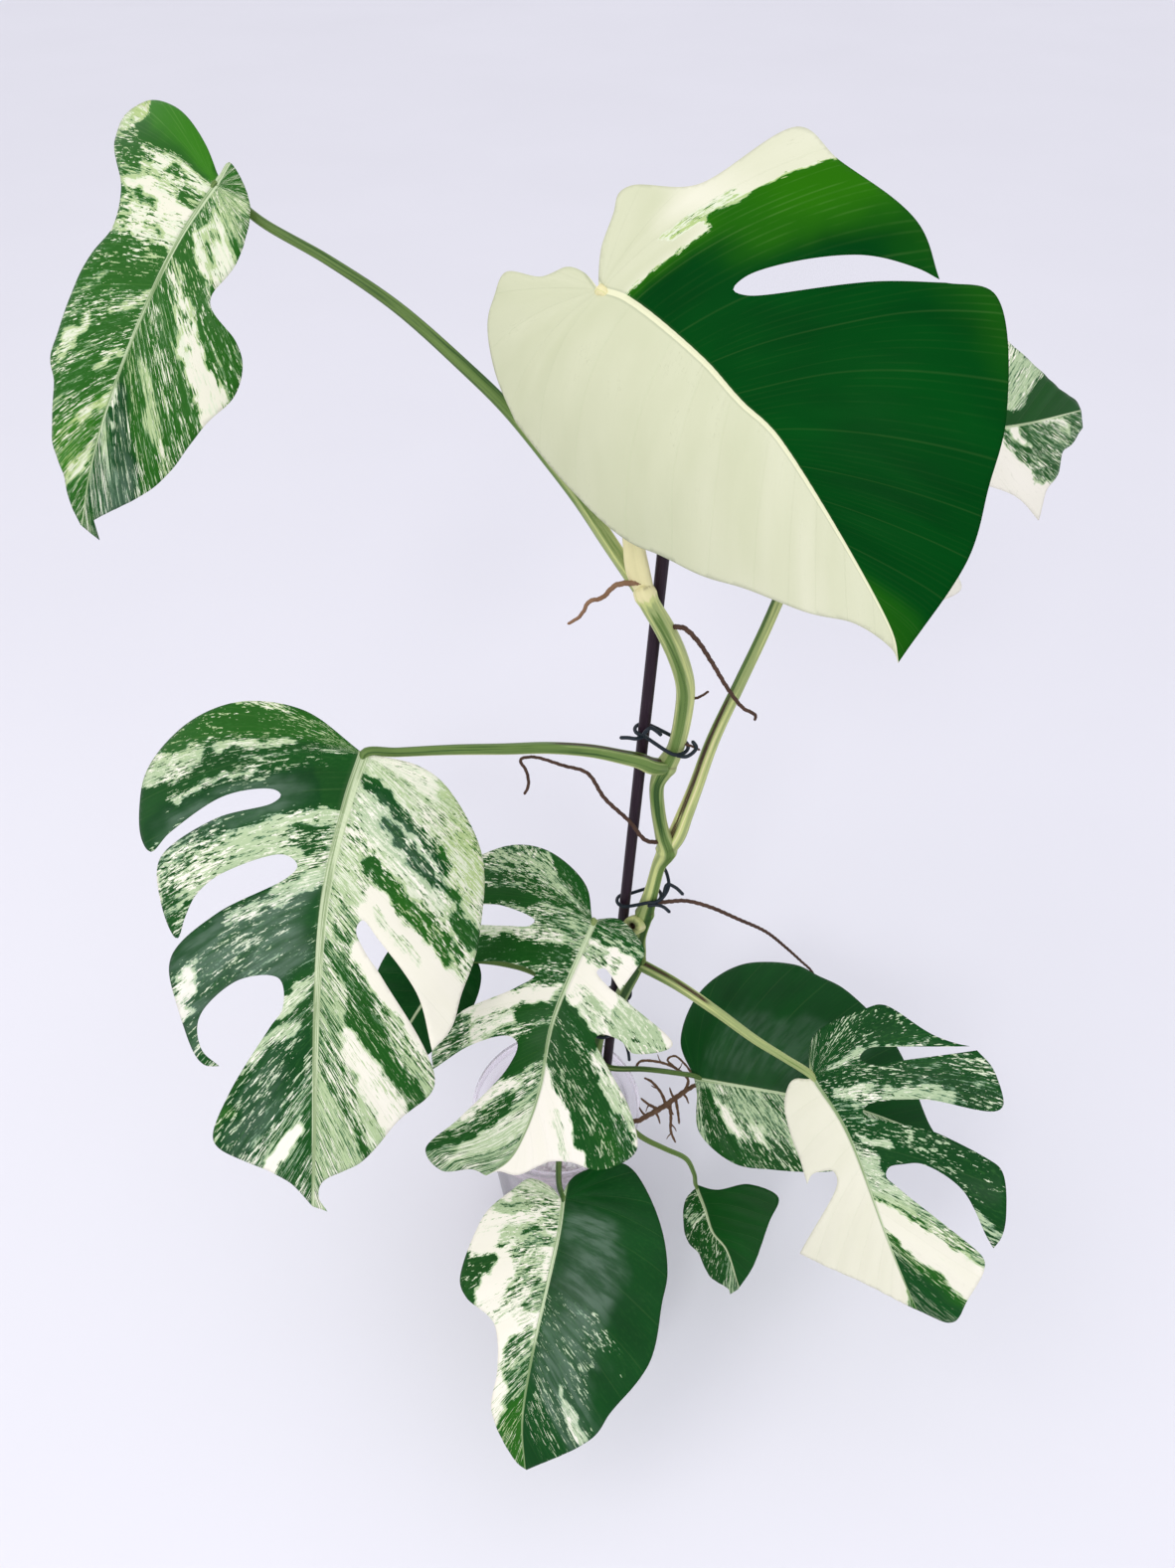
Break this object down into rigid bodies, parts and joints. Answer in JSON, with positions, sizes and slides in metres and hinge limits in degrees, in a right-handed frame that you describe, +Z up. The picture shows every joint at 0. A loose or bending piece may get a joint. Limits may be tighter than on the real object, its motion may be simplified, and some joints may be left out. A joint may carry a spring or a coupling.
{
  "type": "potted monstera",
  "caption": "Climbing monstera with cream and green variegated leaves, tied to a stake in a clear tapered pot.",
  "frame": {"origin": "centre of the pot's underside", "axes": "+Z up, -Y towards the viewer that the leaves face, +X to that viewer's right"},
  "size_m": [0.6372, 0.4729, 0.8777],
  "materials": {
    "clear_pot": "clear, glossy",
    "substrate": "loose, matt",
    "stake": "satin",
    "stem": "satin, cream with green stripes",
    "cut_stub": "matt",
    "mottled_blade": "semi-gloss, green splashed with cream",
    "cream_blade": "semi-gloss, half cream and half green",
    "dark_blade": "semi-gloss, dark green",
    "stalk": "satin, green with pale stripes",
    "cream_stalk": "satin",
    "root": "matt",
    "tie": "satin"
  },
  "bodies": {
    "root": {"pot": "clear_pot", "substrate": "substrate", "stake": "stake", "stem": "stem", "petiole_stub": "cut_stub", "blade_1": "mottled_blade", "blade_2": "cream_blade", "blade_3": "mottled_blade", "blade_4": "mottled_blade", "blade_5": "mottled_blade", "blade_6": "mottled_blade", "blade_7": "dark_blade", "blade_8": "mottled_blade", "blade_9": "dark_blade", "blade_10": "mottled_blade", "petiole_1": "stalk", "petiole_2": "cream_stalk", "petiole_3": "stalk", "petiole_4": "stalk", "petiole_5": "stalk", "petiole_6": "stalk", "petiole_7": "stalk", "petiole_8": "stalk", "petiole_9": "stalk", "petiole_10": "stalk", "aerial_root_a": "root", "aerial_root_b": "root", "aerial_root_c": "root", "aerial_root_d": "root", "aerial_root_e": "root", "aerial_root_f": "root", "root_cluster": "root", "tie_1": "tie", "tie_2": "tie", "tie_3": "tie", "tie_4": "tie"}
  },
  "joints": []
}
